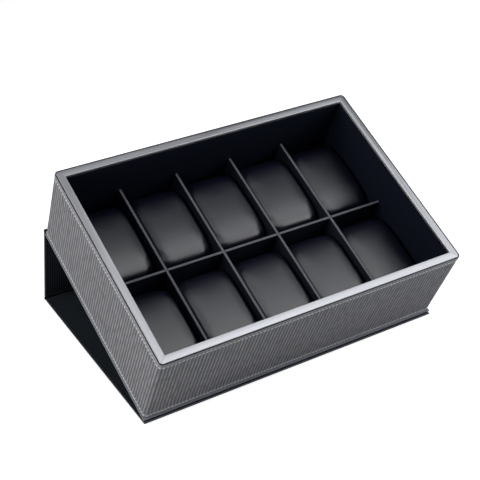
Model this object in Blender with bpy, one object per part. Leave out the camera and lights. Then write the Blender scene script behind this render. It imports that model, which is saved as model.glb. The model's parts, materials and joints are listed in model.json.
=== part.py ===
"""A ten-place watch box with a fold-over cover, standing on its own cover as an easel.

The tray is an open box of boards, wrapped in leather outside and lined inside, with a mitred metal frame on
its rim. Crossing dividers make ten places, each with a lift-out cushion. A base board under the tray, a spine
board and a lid board make the cover, joined by two flexible leather hinges. Here the cover is folded back
under the tray: the lid lies on the table, the spine stands at the rear, and the tray leans between them.

All sizes are in metres. The tray's own frame starts at the front left bottom corner of its leather:
X runs to the right, Y to the rear, and Z up out of the tray. An inset is a distance inwards from the leather.
"""

import math

import bmesh
import bpy
from mathutils import Matrix, Vector

# Tray, over its leather
TRAY_WIDTH = 0.320
TRAY_DEPTH = 0.217
TRAY_HEIGHT = 0.0913
CORNER_RADIUS = 0.004
CORNER_STEPS = 3  # facets in half of a rounded corner

# Materials in the tray's wall, from outside to inside
WRAP_THICKNESS = 0.0008
WALL_THICKNESS = 0.0058
LINING_THICKNESS = 0.0015
FLOOR_THICKNESS = 0.0040
FLOOR_LINING_THICKNESS = 0.0010

# Rim
FRAME_INNER_INSET = 0.0082
FRAME_THICKNESS = 0.0025
FRAME_OUTER_CHAMFER = 0.0004
FRAME_INNER_CHAMFER = 0.0007
MITRE_GAP = 0.0002
EDGE_DROP = 0.0002  # from the frame's face to the black edge strip round it
EDGE_HEIGHT = 0.0009
EDGE_INSET = 0.00005
LINING_DROP = 0.0040  # from the frame's face to the lining's top edge

# Stitching round the wrap, each thread lying in a shallow channel
UPPER_STITCH_DROP = 0.0060
LOWER_STITCH_HEIGHT = 0.0024
CHANNEL_DEPTH = 0.0004
CHANNEL_HEIGHT = 0.0014
THREAD_PROUD = 0.00025

# Inside
PLACES_ACROSS = 5
DIVIDER_THICKNESS = 0.0026
DIVIDER_DROP = 0.0430  # from the frame's face to the dividers' top edges
CUSHION_SIDE_GAP = 0.0014
CUSHION_END_GAP = 0.0030
CUSHION_HEIGHT = 0.0390
CUSHION_BELLY_HEIGHT = 0.0130  # where a cushion is longest
CUSHION_UPPER_FULLNESS = 4.0  # superellipse powers: 2 is round, more is squarer
CUSHION_LOWER_FULLNESS = 4.0
CUSHION_OUTLINE_STEPS = 28
# Places across a cushion, as shares of its width from its middle, and its size there
CUSHION_STATIONS = ((-0.50, 0.80), (-0.46, 0.92), (-0.38, 1.0), (0.38, 1.0), (0.46, 0.92), (0.50, 0.80))

# Cover
PANEL_THICKNESS = 0.0025
SKIN_THICKNESS = 0.0004
LAYER_GAP = 0.00015
SIDE_OVERHANG = 0.0006
FRONT_OVERHANG = 0.0015
REAR_CLEARANCE = 0.0005  # between the closed spine and the tray
LID_CLEARANCE = 0.0010  # between the closed lid and the rim
HINGE_RISE = 0.0003  # from the tray's underside up to the base hinge's axis
HINGE_CLEARANCE = 0.00175  # from a hinge axis to the boards' edges, past half a board's thickness
HINGE_THICKNESS = 0.0008
REST_SETBACK = 0.0015  # from the lid's front edge to where the tray rests on it

# Magnets in the front edges of the lid and the base
MAGNET_RADIUS = 0.0050
MAGNET_THICKNESS = 0.0011
MAGNET_SPREAD = 0.1000  # from the middle of the board
MAGNET_SETBACK = 0.0090  # from the board's front edge
MAGNET_FACETS = 24

GAP = 0.0003  # kept between pieces that touch

ROUND_SHADING = math.radians(40)  # edges flatter than this are shaded round
PIVOT_MARK = 0.02  # drawn size of a pivot

# Worked out from the sizes above
WALL_OUTER = WRAP_THICKNESS + GAP
WALL_INNER = WALL_OUTER + WALL_THICKNESS
LINING_OUTER = WALL_INNER + GAP
LINING_INNER = LINING_OUTER + LINING_THICKNESS
INSIDE = LINING_INNER + GAP
EDGE_TOP = TRAY_HEIGHT - EDGE_DROP
WRAP_TOP = EDGE_TOP - EDGE_HEIGHT - GAP
WALL_TOP = TRAY_HEIGHT - FRAME_THICKNESS - GAP
LINING_BOTTOM = FLOOR_THICKNESS + GAP
LINING_TOP = TRAY_HEIGHT - LINING_DROP
INSIDE_FLOOR = LINING_BOTTOM + FLOOR_LINING_THICKNESS + GAP
DIVIDER_HEIGHT = TRAY_HEIGHT - DIVIDER_DROP - INSIDE_FLOOR
PLACE_WIDTH = (TRAY_WIDTH - 2 * INSIDE - (PLACES_ACROSS - 1) * DIVIDER_THICKNESS) / PLACES_ACROSS
PLACE_DEPTH = (TRAY_DEPTH - 2 * INSIDE - DIVIDER_THICKNESS) / 2

COVER_WIDTH = TRAY_WIDTH + 2 * SIDE_OVERHANG
BASE_AXIS_Y = TRAY_DEPTH + REAR_CLEARANCE + PANEL_THICKNESS / 2
SPINE_LENGTH = TRAY_HEIGHT + LID_CLEARANCE + PANEL_THICKNESS / 2 - HINGE_RISE  # from axis to axis
BASE_BOTTOM = -HINGE_RISE - GAP - PANEL_THICKNESS  # the base's outer face, from its hinge's axis
HINGE_EDGE = PANEL_THICKNESS / 2 + HINGE_CLEARANCE
PANEL_LENGTH = BASE_AXIS_Y + FRONT_OVERHANG  # base and lid, from axis to front edge

# Colour, roughness and metallic value of each material
FINISHES = {
    "grey_leather": ((0.19, 0.19, 0.20), 0.45, 0.0),
    "black_weave": ((0.020, 0.022, 0.026), 0.45, 0.0),
    "cushion_leather": ((0.018, 0.018, 0.020), 0.40, 0.0),
    "black_lining": ((0.012, 0.013, 0.018), 0.90, 0.0),
    "black_edge": ((0.010, 0.010, 0.011), 0.50, 0.0),
    "brushed_frame": ((0.62, 0.61, 0.62), 0.35, 1.0),
    "grey_thread": ((0.62, 0.62, 0.63), 0.80, 0.0),
    "board": ((0.30, 0.22, 0.15), 0.90, 0.0),
    "magnet": ((0.55, 0.55, 0.56), 0.30, 1.0),
}


def clear_scene():
    for obj in list(bpy.data.objects):
        bpy.data.objects.remove(obj)


def finish(name):
    """The named material, made the first time it is asked for."""
    material = bpy.data.materials.get(name)
    if material is None:
        color, roughness, metallic = FINISHES[name]
        material = bpy.data.materials.new(name)
        material.use_nodes = True
        shader = material.node_tree.nodes["Principled BSDF"]
        shader.inputs["Base Color"].default_value = (*color, 1)
        shader.inputs["Roughness"].default_value = roughness
        shader.inputs["Metallic"].default_value = metallic
    return material


def empty(name, parent=None, place=(0, 0, 0), turn_x=0.0):
    obj = bpy.data.objects.new(name, None)
    obj.empty_display_size = PIVOT_MARK
    obj.parent = parent
    obj.location = place
    obj.rotation_euler.x = turn_x
    bpy.context.collection.objects.link(obj)
    return obj


def add_piece(name, bm, material, parent, place=(0, 0, 0), turn_z=0.0):
    """Puts a finished bmesh into the scene as one named piece."""
    bmesh.ops.remove_doubles(bm, verts=bm.verts, dist=1e-6)
    bmesh.ops.recalc_face_normals(bm, faces=bm.faces)
    mesh = bpy.data.meshes.new(name)
    bm.to_mesh(mesh)
    bm.free()
    mesh.materials.append(finish(material))
    obj = bpy.data.objects.new(name, mesh)
    obj.parent = parent
    obj.location = place
    obj.rotation_euler.z = turn_z
    bpy.context.collection.objects.link(obj)
    return obj


def shade_round(obj):
    obj.data.shade_smooth()
    obj.data.set_sharp_from_angle(angle=ROUND_SHADING)


def block(name, low, high, material, parent):
    """A rectangular board between two corners of its parent's frame."""
    low, high = Vector(low), Vector(high)
    bm = bmesh.new()
    bmesh.ops.create_cube(bm, size=1, matrix=Matrix.Diagonal((*(high - low), 1)))
    return add_piece(name, bm, material, parent, (low + high) / 2)


def extruded(name, outline, along, material, parent, place=(0, 0, 0), turn_z=0.0):
    """An outline of 3-D points in one plane, extruded by a vector."""
    bm = bmesh.new()
    face = bm.faces.new([bm.verts.new(point) for point in outline])
    grown = bmesh.ops.extrude_face_region(bm, geom=[face])["geom"]
    moved = [part for part in grown if isinstance(part, bmesh.types.BMVert)]
    bmesh.ops.translate(bm, verts=moved, vec=along)
    return add_piece(name, bm, material, parent, place, turn_z)


def side_path(run, inset, end_shift=0.0):
    """One side of the tray's outline at an inset, from one corner's diagonal to the next.

    X runs along the side and Y inwards. The ends are drawn in along the side by end_shift.
    """
    radius = max(CORNER_RADIUS - inset, 0)
    centre = max(CORNER_RADIUS, inset)
    path = []
    for middle, start in ((centre, 5 * math.pi / 4), (run - centre, 3 * math.pi / 2)):
        for step in range(CORNER_STEPS + 1):
            angle = start + math.pi / 4 * step / CORNER_STEPS
            path.append(Vector((middle + radius * math.cos(angle), centre + radius * math.sin(angle))))
    first = path[0].x + end_shift
    last = path[-1].x - end_shift
    for point in path:
        point.x = min(max(point.x, first), last)
    return path


def tray_sides():
    """Each side's name, length, first corner and turn, going round from the front left corner."""
    return (
        ("front", TRAY_WIDTH, (0, 0, 0), 0.0),
        ("right", TRAY_DEPTH, (TRAY_WIDTH, 0, 0), math.pi / 2),
        ("rear", TRAY_WIDTH, (TRAY_WIDTH, TRAY_DEPTH, 0), math.pi),
        ("left", TRAY_DEPTH, (0, TRAY_DEPTH, 0), 3 * math.pi / 2),
    )


def ring_path(inset):
    """The tray's whole outline at an inset, as a closed list of points."""
    path = []
    for _, run, corner, turn in tray_sides():
        place = Matrix.Translation(corner) @ Matrix.Rotation(turn, 4, "Z")
        path += [place @ point.to_3d() for point in side_path(run, inset)[:-1]]
    return path


def swept(name, profile, path_at, closed, material, parent, place=(0, 0, 0), turn_z=0.0):
    """A profile of (inset, height) points carried along the path that path_at gives for each inset."""
    bm = bmesh.new()
    lines = []
    for inset, height in profile:
        lines.append([bm.verts.new((point.x, point.y, height)) for point in path_at(inset)])
    count = len(lines[0])
    for here, above in zip(lines, lines[1:] + lines[:1]):
        for i in range(count if closed else count - 1):
            j = (i + 1) % count
            bm.faces.new((here[i], here[j], above[j], above[i]))
    if not closed:
        bm.faces.new([line[0] for line in lines])
        bm.faces.new([line[-1] for line in reversed(lines)])
    piece = add_piece(name, bm, material, parent, place, turn_z)
    shade_round(piece)
    return piece


def ring(name, profile, material, tray):
    return swept(name, profile, ring_path, True, material, tray)


def wall_boards(tray):
    """Front and rear boards run right across, with rounded ends; the side boards stand between them."""
    for name, run, corner, turn in tray_sides():
        if name in ("front", "rear"):
            outer = side_path(run, WALL_OUTER)
            end = math.pi / 4
            first = [Vector((WALL_OUTER, WALL_INNER))]
            last = [Vector((run - WALL_OUTER, WALL_INNER))]
            radius = CORNER_RADIUS - WALL_OUTER
            for step in range(CORNER_STEPS):
                angle = math.pi + end * step / CORNER_STEPS
                first.append(Vector((math.cos(angle), math.sin(angle))) * radius)
                first[-1] += Vector((CORNER_RADIUS, CORNER_RADIUS))
                last.append(Vector((run - first[-1].x, first[-1].y)))
            outline = first + outer + last[:0:-1] + last[:1]
            points = [(point.x, point.y, 0) for point in outline]
            extruded(f"wall_{name}", points, (0, 0, WALL_TOP), "board", tray, corner, turn)
        else:
            left = WALL_OUTER if name == "left" else TRAY_WIDTH - WALL_INNER
            low = (left, WALL_INNER + GAP, 0)
            high = (left + WALL_THICKNESS, TRAY_DEPTH - WALL_INNER - GAP, WALL_TOP)
            block(f"wall_{name}", low, high, "board", tray)


def tray_floor(tray):
    edge = WALL_INNER + GAP
    low = (edge, edge, 0)
    high = (TRAY_WIDTH - edge, TRAY_DEPTH - edge, FLOOR_THICKNESS)
    block("floor_board", low, high, "board", tray)


def outer_wrap(tray):
    """The grey leather band, with a channel in its face for each line of stitching."""
    outer = [(0, 0)]
    for middle in (LOWER_STITCH_HEIGHT, TRAY_HEIGHT - UPPER_STITCH_DROP):
        low, high = middle - CHANNEL_HEIGHT / 2, middle + CHANNEL_HEIGHT / 2
        outer += [(0, low), (CHANNEL_DEPTH, low), (CHANNEL_DEPTH, high), (0, high)]
    profile = outer + [(0, WRAP_TOP), (WRAP_THICKNESS, WRAP_TOP), (WRAP_THICKNESS, 0)]
    ring("outer_wrap", profile, "grey_leather", tray)


def stitching(tray):
    middles = {"lower": LOWER_STITCH_HEIGHT, "upper": TRAY_HEIGHT - UPPER_STITCH_DROP}
    half = CHANNEL_HEIGHT / 2 - GAP
    inner = CHANNEL_DEPTH - GAP
    for name, middle in middles.items():
        low, high = middle - half, middle + half
        profile = [(-THREAD_PROUD, low), (-THREAD_PROUD, high), (inner, high), (inner, low)]
        ring(f"stitching_{name}", profile, "grey_thread", tray)


def edge_strip(tray):
    """The black strip between the top of the leather and the metal frame."""
    bottom = WRAP_TOP + GAP
    bevel = EDGE_HEIGHT / 3
    profile = [
        (EDGE_INSET, bottom),
        (EDGE_INSET, EDGE_TOP - bevel),
        (EDGE_INSET + bevel, EDGE_TOP),
        (WRAP_THICKNESS, EDGE_TOP),
        (WRAP_THICKNESS, bottom),
    ]
    ring("edge_strip", profile, "black_edge", tray)


def rim_frame(tray):
    """Four metal bars with mitred ends, rounded where they meet outside."""
    top, bottom = TRAY_HEIGHT, TRAY_HEIGHT - FRAME_THICKNESS
    profile = [
        (WALL_OUTER, bottom),
        (WALL_OUTER, top - FRAME_OUTER_CHAMFER),
        (WALL_OUTER + FRAME_OUTER_CHAMFER, top),
        (FRAME_INNER_INSET - FRAME_INNER_CHAMFER, top),
        (FRAME_INNER_INSET, top - FRAME_INNER_CHAMFER),
        (FRAME_INNER_INSET, bottom),
    ]
    for name, run, corner, turn in tray_sides():

        def path_at(inset, run=run):
            return side_path(run, inset, MITRE_GAP * math.sqrt(0.5))

        swept(f"frame_{name}", profile, path_at, False, "brushed_frame", tray, corner, turn)


def linings(tray):
    """Covered cards on the four walls and the floor, ending below the frame."""
    wide, deep = TRAY_WIDTH, TRAY_DEPTH
    near, far = LINING_OUTER, LINING_INNER
    inner = INSIDE
    spans = {
        "front": ((near, near), (wide - near, far)),
        "rear": ((near, deep - far), (wide - near, deep - near)),
        "left": ((near, inner), (far, deep - inner)),
        "right": ((wide - far, inner), (wide - near, deep - inner)),
    }
    for name, (low, high) in spans.items():
        block(f"lining_{name}", (*low, LINING_BOTTOM), (*high, LINING_TOP), "black_lining", tray)
    low = (inner, inner, LINING_BOTTOM)
    high = (wide - inner, deep - inner, LINING_BOTTOM + FLOOR_LINING_THICKNESS)
    block("lining_floor", low, high, "black_lining", tray)


def place_start(column):
    """The left side of a column of places."""
    return INSIDE + column * (PLACE_WIDTH + DIVIDER_THICKNESS)


def slotted_outline(length, slots):
    """A divider's side view as (along, up) points, with half-height slots cut down from its top edge."""
    slot_half = DIVIDER_THICKNESS / 2 + GAP
    slot_bottom = DIVIDER_HEIGHT / 2 - GAP / 2
    outline = [(0, 0), (0, DIVIDER_HEIGHT)]
    for middle in slots:
        left, right = middle - slot_half, middle + slot_half
        outline += [(left, DIVIDER_HEIGHT), (left, slot_bottom)]
        outline += [(right, slot_bottom), (right, DIVIDER_HEIGHT)]
    return outline + [(length, DIVIDER_HEIGHT), (length, 0)]


def dividers(tray):
    """The long divider is slotted from above and the cross dividers from below, so that they interlock."""
    long_length = TRAY_WIDTH - 2 * INSIDE
    cross_length = TRAY_DEPTH - 2 * INSIDE
    half = DIVIDER_THICKNESS / 2
    lefts = [place_start(column) - DIVIDER_THICKNESS for column in range(1, PLACES_ACROSS)]
    slots = [left + half - INSIDE for left in lefts]
    points = [(along, 0, up) for along, up in slotted_outline(long_length, slots)]
    start = (INSIDE, TRAY_DEPTH / 2 - half, INSIDE_FLOOR)
    extruded("divider_long", points, (0, DIVIDER_THICKNESS, 0), "black_lining", tray, start)
    cross = slotted_outline(cross_length, [cross_length / 2])
    points = [(0, along, DIVIDER_HEIGHT - up) for along, up in cross]
    for number, left in enumerate(lefts, 1):
        start = (left, INSIDE, INSIDE_FLOOR)
        extruded(f"divider_cross_{number}", points, (DIVIDER_THICKNESS, 0, 0), "black_lining", tray, start)


def superellipse(angle, half_length, half_height, power):
    """A point of an ellipse squared off by a power above 2."""
    c, s = math.cos(angle), math.sin(angle)
    along = math.copysign(abs(c) ** (2 / power), c) * half_length
    return along, math.copysign(abs(s) ** (2 / power), s) * half_height


def cushion_outline(depth):
    """A cushion's side view about its belly: a broad crown above and a flatter seat below."""
    outline = []
    for step in range(CUSHION_OUTLINE_STEPS):
        angle = 2 * math.pi * step / CUSHION_OUTLINE_STEPS
        upper = math.sin(angle) > 0
        height = CUSHION_HEIGHT - CUSHION_BELLY_HEIGHT if upper else CUSHION_BELLY_HEIGHT
        power = CUSHION_UPPER_FULLNESS if upper else CUSHION_LOWER_FULLNESS
        outline.append(superellipse(angle, depth / 2, height, power))
    return outline


def cushion(name, tray, place):
    """A crowned cushion that narrows towards its two sides, with its origin under its middle."""
    width = PLACE_WIDTH - 2 * CUSHION_SIDE_GAP
    outline = cushion_outline(PLACE_DEPTH - 2 * CUSHION_END_GAP)
    bm = bmesh.new()
    loops = []
    for across, size in CUSHION_STATIONS:
        points = [(across * width, y * size, CUSHION_BELLY_HEIGHT + z * size) for y, z in outline]
        loops.append([bm.verts.new(point) for point in points])
    for here, after in zip(loops, loops[1:]):
        for i, vert in enumerate(here):
            j = (i + 1) % len(here)
            bm.faces.new((vert, here[j], after[j], after[i]))
    bm.faces.new(loops[0])
    bm.faces.new(loops[-1])
    shade_round(add_piece(name, bm, "cushion_leather", tray, place))


def cushions(tray):
    rows = {"front": INSIDE, "rear": INSIDE + PLACE_DEPTH + DIVIDER_THICKNESS}
    for row, start in rows.items():
        for column in range(PLACES_ACROSS):
            middle = (place_start(column) + PLACE_WIDTH / 2, start + PLACE_DEPTH / 2, INSIDE_FLOOR)
            cushion(f"cushion_{row}_{column + 1}", tray, middle)


def easel_angles():
    """The spine's angle up from the lid and the tray's tilt, for a tray whose base rests on the lid.

    The spine, the base board and the stretch of lid between them are a triangle of known sides.
    """
    rest = Vector((PANEL_LENGTH - REST_SETBACK, PANEL_THICKNESS / 2 + GAP))  # from the lid hinge
    base = Vector((PANEL_LENGTH, -BASE_BOTTOM))  # from the base hinge to the base's lower front edge
    cosine = SPINE_LENGTH**2 + rest.length_squared - base.length_squared
    cosine /= 2 * SPINE_LENGTH * rest.length
    spine_angle = math.acos(cosine) + math.atan2(rest.y, rest.x)
    drop = SPINE_LENGTH * math.sin(spine_angle) - rest.y
    reach = rest.x - SPINE_LENGTH * math.cos(spine_angle)
    return spine_angle, math.atan2(drop, reach) - math.atan2(base.y, base.x)


def panel(name, pivot, start, end, bottom, lined):
    """A board of the cover between two distances from its pivot's axis, its outer skin from bottom up.

    A panel with a lining has it on the inner face, on top. Returns the board and the middle of its height.
    """
    side = COVER_WIDTH / 2
    top = bottom + PANEL_THICKNESS
    layer = SKIN_THICKNESS + LAYER_GAP
    low, high = bottom + layer, top - layer if lined else top
    board = block(f"{name}_board", (-side, start, low), (side, end, high), "board", pivot)
    skin_top = bottom + SKIN_THICKNESS
    block(f"{name}_skin", (-side, start, bottom), (side, end, skin_top), "black_weave", pivot)
    if lined:
        lining_bottom = top - SKIN_THICKNESS
        block(f"{name}_lining", (-side, start, lining_bottom), (side, end, top), "black_lining", pivot)
    return board, (low + high) / 2


def disc(radius, thickness):
    bm = bmesh.new()
    bmesh.ops.create_cone(
        bm, cap_ends=True, segments=MAGNET_FACETS, radius1=radius, radius2=radius, depth=thickness
    )
    return bm


def magnets(name, board, pivot, along, level):
    """Two disc magnets, each in a round hole through a board."""
    through = 4 * PANEL_THICKNESS
    for number, across in enumerate((-MAGNET_SPREAD, MAGNET_SPREAD), 1):
        place = (across, along, level)
        hole = add_piece(
            f"{name}_hole_{number}", disc(MAGNET_RADIUS + GAP, through), "board", pivot, place
        )
        hole.hide_render = True
        hole.display_type = "WIRE"
        cut = board.modifiers.new(hole.name, "BOOLEAN")
        cut.operation = "DIFFERENCE"
        cut.solver = "EXACT"
        cut.object = hole
        magnet = disc(MAGNET_RADIUS, MAGNET_THICKNESS)
        shade_round(add_piece(f"{name}_magnet_{number}", magnet, "magnet", pivot, place))


def hinge_strip(name, pivot, ends):
    """The bare leather between two boards, creased on the axis, given its two ends as YZ points."""
    half = HINGE_THICKNESS / 2
    ends = [Vector(end) for end in ends]
    inside = (ends[0].normalized() + ends[1].normalized()).normalized()
    crease = inside * half / abs(inside.cross(ends[0].normalized()))
    edges = []
    for end in ends:
        along = end.normalized()
        across = (inside - along * inside.dot(along)).normalized() * half
        edges.append((end + across, end - across))
    points = [edges[0][0], crease, edges[1][0], edges[1][1], -crease, edges[0][1]]
    side = COVER_WIDTH / 2
    corners = [(-side, point.x, point.y) for point in points]
    extruded(name, corners, (2 * side, 0, 0), "black_weave", pivot)


def from_axis(angle, distance):
    return distance * math.cos(angle), distance * math.sin(angle)


def cover(tray, spine_angle, tilt):
    """Base, spine and lid boards, each on its hinge's axis, folded back under the tray."""
    spine_turn = -(spine_angle + tilt)
    lid_turn = spine_angle - math.pi
    half = PANEL_THICKNESS / 2
    reach = HINGE_EDGE - GAP
    base = empty("base_pivot", tray, (TRAY_WIDTH / 2, BASE_AXIS_Y, HINGE_RISE))
    spine = empty("spine_pivot", base, (0, 0, 0), spine_turn)
    lid = empty("lid_pivot", spine, (0, SPINE_LENGTH, 0), lid_turn)
    board, level = panel("base", base, -PANEL_LENGTH, -HINGE_EDGE, BASE_BOTTOM, lined=False)
    magnets("base", board, base, MAGNET_SETBACK - PANEL_LENGTH, level)
    panel("spine", spine, HINGE_EDGE, SPINE_LENGTH - HINGE_EDGE, -half, lined=True)
    board, level = panel("lid", lid, HINGE_EDGE, PANEL_LENGTH, -half, lined=True)
    magnets("lid", board, lid, PANEL_LENGTH - MAGNET_SETBACK, level)
    hinge_strip("base_hinge", base, ((-reach, BASE_BOTTOM + half), from_axis(spine_turn, reach)))
    hinge_strip("lid_hinge", lid, ((reach, 0), from_axis(math.pi - lid_turn, reach)))


def centre_on_floor(root):
    """Moves the whole box so that the middle of its footprint is at the origin, on the floor."""
    bpy.context.view_layer.update()
    corners = []
    for obj in bpy.data.objects:
        if obj.type == "MESH" and not obj.hide_render:
            corners += [obj.matrix_world @ Vector(corner) for corner in obj.bound_box]
    low = [min(corner[axis] for corner in corners) for axis in range(3)]
    high = [max(corner[axis] for corner in corners) for axis in range(3)]
    root.location = (-(low[0] + high[0]) / 2, -(low[1] + high[1]) / 2, -low[2])


def main():
    clear_scene()
    spine_angle, tilt = easel_angles()
    root = empty("watch_box")
    tray = empty("tray_frame", root, turn_x=tilt)
    wall_boards(tray)
    tray_floor(tray)
    outer_wrap(tray)
    stitching(tray)
    edge_strip(tray)
    rim_frame(tray)
    linings(tray)
    dividers(tray)
    cushions(tray)
    cover(tray, spine_angle, tilt)
    centre_on_floor(root)


main()
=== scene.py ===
"""Builds the leather, metal, cushions and studio of a ten-place watch box round its fixed model.

The box stands on its own fold-over cover. Pieces are modelled flat in the part's own frame, tray, spine or lid,
and then turned into place. The tray's frame starts at the front left bottom corner of its leather: X runs to the
right, Y to the rear and Z up out of the tray. All sizes are in metres.
"""

import json
import math

import bmesh
import bpy
from bpy.props import FloatProperty, FloatVectorProperty, IntProperty, PointerProperty
from mathutils import Matrix, Vector, noise


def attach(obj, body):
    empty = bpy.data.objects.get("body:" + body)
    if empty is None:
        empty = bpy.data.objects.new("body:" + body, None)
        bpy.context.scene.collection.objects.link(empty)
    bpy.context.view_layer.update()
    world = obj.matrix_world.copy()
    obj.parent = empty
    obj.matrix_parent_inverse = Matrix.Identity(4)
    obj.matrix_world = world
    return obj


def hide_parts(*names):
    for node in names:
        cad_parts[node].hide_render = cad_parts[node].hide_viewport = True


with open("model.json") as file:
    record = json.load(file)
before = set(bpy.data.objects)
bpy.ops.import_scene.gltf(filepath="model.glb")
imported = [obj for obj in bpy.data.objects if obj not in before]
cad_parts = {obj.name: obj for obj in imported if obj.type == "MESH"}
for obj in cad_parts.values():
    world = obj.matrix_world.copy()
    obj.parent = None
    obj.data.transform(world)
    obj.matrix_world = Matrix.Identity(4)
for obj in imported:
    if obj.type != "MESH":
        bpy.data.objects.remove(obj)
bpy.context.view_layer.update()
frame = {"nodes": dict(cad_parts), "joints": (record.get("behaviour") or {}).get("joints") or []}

bl_info = {
    "name": "Watch Box Looks",
    "version": (1, 0, 0),
    "blender": (4, 5, 0),
    "location": "View3D > Sidebar > Watch Box",
    "description": "Builds the covered pieces, finishes and studio of a ten-place watch box",
    "category": "Object",
}

SIDES = ("front", "right", "rear", "left")
PLACES_ACROSS = 5
CUSHIONS = [f"cushion_{row}_{number}" for row in ("front", "rear") for number in range(1, PLACES_ACROSS + 1)]
CROSSES = [f"divider_cross_{number}" for number in range(1, PLACES_ACROSS)]
JOINTS = {joint["name"]: joint for joint in frame["joints"]}


def box_in(place, *nodes):
    """The lowest and highest corners of the named nodes together, in the frame that place stands for."""
    back = place.inverted()
    points = [back @ vert.co for node in nodes for vert in frame["nodes"][node].data.vertices]
    low = Vector(min(point[axis] for point in points) for axis in range(3))
    high = Vector(max(point[axis] for point in points) for axis in range(3))
    return low, high


def part_frames():
    """Where the tray's, the spine's and the lid's own frames stand."""
    lift = Vector(JOINTS[f"{CUSHIONS[0]}_lift"]["axis"])
    turned = Matrix.Rotation(math.atan2(-lift.y, lift.z), 4, "X")
    corner, _ = box_in(turned, "outer_wrap")
    spine_axis = Vector(JOINTS["spine_hinge"]["pos_m"])
    lid_axis = Vector(JOINTS["lid_hinge_fold"]["pos_m"])
    run = lid_axis - spine_axis
    spine = Matrix.Translation(spine_axis) @ Matrix.Rotation(math.atan2(run.z, run.y), 4, "X")
    lid = Matrix.Translation(lid_axis) @ Matrix.Rotation(math.pi, 4, "X")
    return turned @ Matrix.Translation(corner), spine, lid, run.length


TRAY, SPINE, LID, SPINE_RUN = part_frames()
_, WRAP_HIGH = box_in(TRAY, "outer_wrap")
WIDE, DEEP = WRAP_HIGH.x, WRAP_HIGH.y
CORNER_RADIUS = 0.004
SAME = 1e-6  # points nearer than this are one

# The leather wrap and its seams
WRAP_THICK = 0.0008
WRAP_EASE = 0.0003  # rounding of the top and bottom edges
COLUMNS_TO_A_RIB = 6
SEAM_SIDE = 0.0005  # from a seam to the points on either side of it
SEAM_CLEAR = 0.0011  # smooth leather on either side of a seam
SEAM_REACH = 0.0007  # how far from a seam the leather is pulled in
LOW_ROLL = 0.0012  # height of the roll at the bottom
FOLD_SIDE = 0.0004
THREAD_SINK = 0.00012
THREAD_SLANT = math.radians(7)

# The rim
EDGE_STRIP_BACK = -0.00085  # where the strip ends behind the metal
MITRE_GAP = 0.0001
BAR_ROUND = 0.00045

# Inside the tray
WALL_LINING_ROUND = 0.0005
FLOOR_LINING_ROUND = 0.0003
DIVIDER_ROUND = 0.0007
DIVIDER_GAP = 0.0003
GROOVE_SIDE = 0.0003
GROOVE_DEEP = 0.00025
CUSHION_START = 0.965  # size before filling, as a share of the finished cushion
CUSHION_SWELL = 0.0040  # the most that a point moves in filling
CUSHION_PROUD = Vector((0.0008, 0.0015, 0.0012))  # how far the filled leather may stand past the plain cushion
CUSHION_SEAM = 0.013  # height of the closing seam
CUSHION_SEAM_DEEP = 0.0006
CUSHION_SMOOTHING = 9
END_FROM = 0.76  # where a cushion's fuller ends begin, as a share of half its width
END_FULLER = (0.06, 0.10)  # how much fuller its ends are, in depth and in height

# The cover
LINING_MARGIN = 0.0012
LINING_ROUND = 0.00018
FLAP_THICK = 0.0008
FLAP_ROUND = 0.0002
FLAP_UNDER = 0.0004  # how far a flap reaches under a board's covering
PLAIN_RELIEF = 0.35  # weave height where the cover is smooth


# ---- Sizes, colours and studio settings -------------------------------------------------------------------


def length(name, description, default):
    return FloatProperty(
        name=name, description=description, default=default, min=0.0, subtype="DISTANCE", unit="LENGTH"
    )


def tint(name, description, default):
    return FloatVectorProperty(
        name=name, description=description, default=default, size=3, min=0.0, max=1.0, subtype="COLOR"
    )


class WatchBoxSizes(bpy.types.PropertyGroup):
    """Sizes of the details that the plain model leaves out."""

    rib_pitch: length("Rib pitch", "Distance from one rib of the grey leather to the next", 0.00364)
    rib_depth: length("Rib depth", "How far the grooves lie below the ribs", 0.00050)
    rib_step: length("Rib step", "Height of one step in the ribs' unevenness", 0.0023)
    roll: length("Rolled edge", "How far the leather swells between a seam and its edge", 0.00022)
    seam_dip: length("Seam dip", "How deep the thread pulls the leather in", 0.00032)
    upper_pitch: length("Upper stitch pitch", "Distance between stitches below the rim", 0.0038)
    lower_pitch: length("Lower stitch pitch", "Distance between stitches above the base", 0.0036)
    stitch: length("Stitch length", "Length of one stitch", 0.0025)
    thread: length("Thread thickness", "Thickness of the sewing thread", 0.00100)
    fold_rise: length("Fold line", "From the upper stitching up to the leather's fold line", 0.0021)
    fold_dip: length("Fold depth", "How deep the fold line lies", 0.00035)
    weave_cell: length("Weave cell", "Size of one crossing in the cover's weave", 0.0025)
    weave_relief: length("Weave relief", "Height of the weave's crossings", 0.00065)
    panel_round: length("Panel edge", "Rounding of the cover's edges", 0.0009)
    bar_slope: length("Bar slope", "How much lower the metal bars are at their outer edge", 0.00030)
    bead: length("Hinge bead", "Radius of the rolled leather on a hinge's axis", 0.0011)
    cushion_cell: length("Cushion mesh", "Spacing of the cushions' cloth before they are filled", 0.0040)
    cushion_pressure: FloatProperty(
        name="Cushion pressure", description="How hard the filling presses on the leather", default=4.0, min=0.0
    )
    cushion_frames: IntProperty(
        name="Filling steps", description="Steps of the cloth simulation", default=20, min=1, max=60
    )


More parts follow.
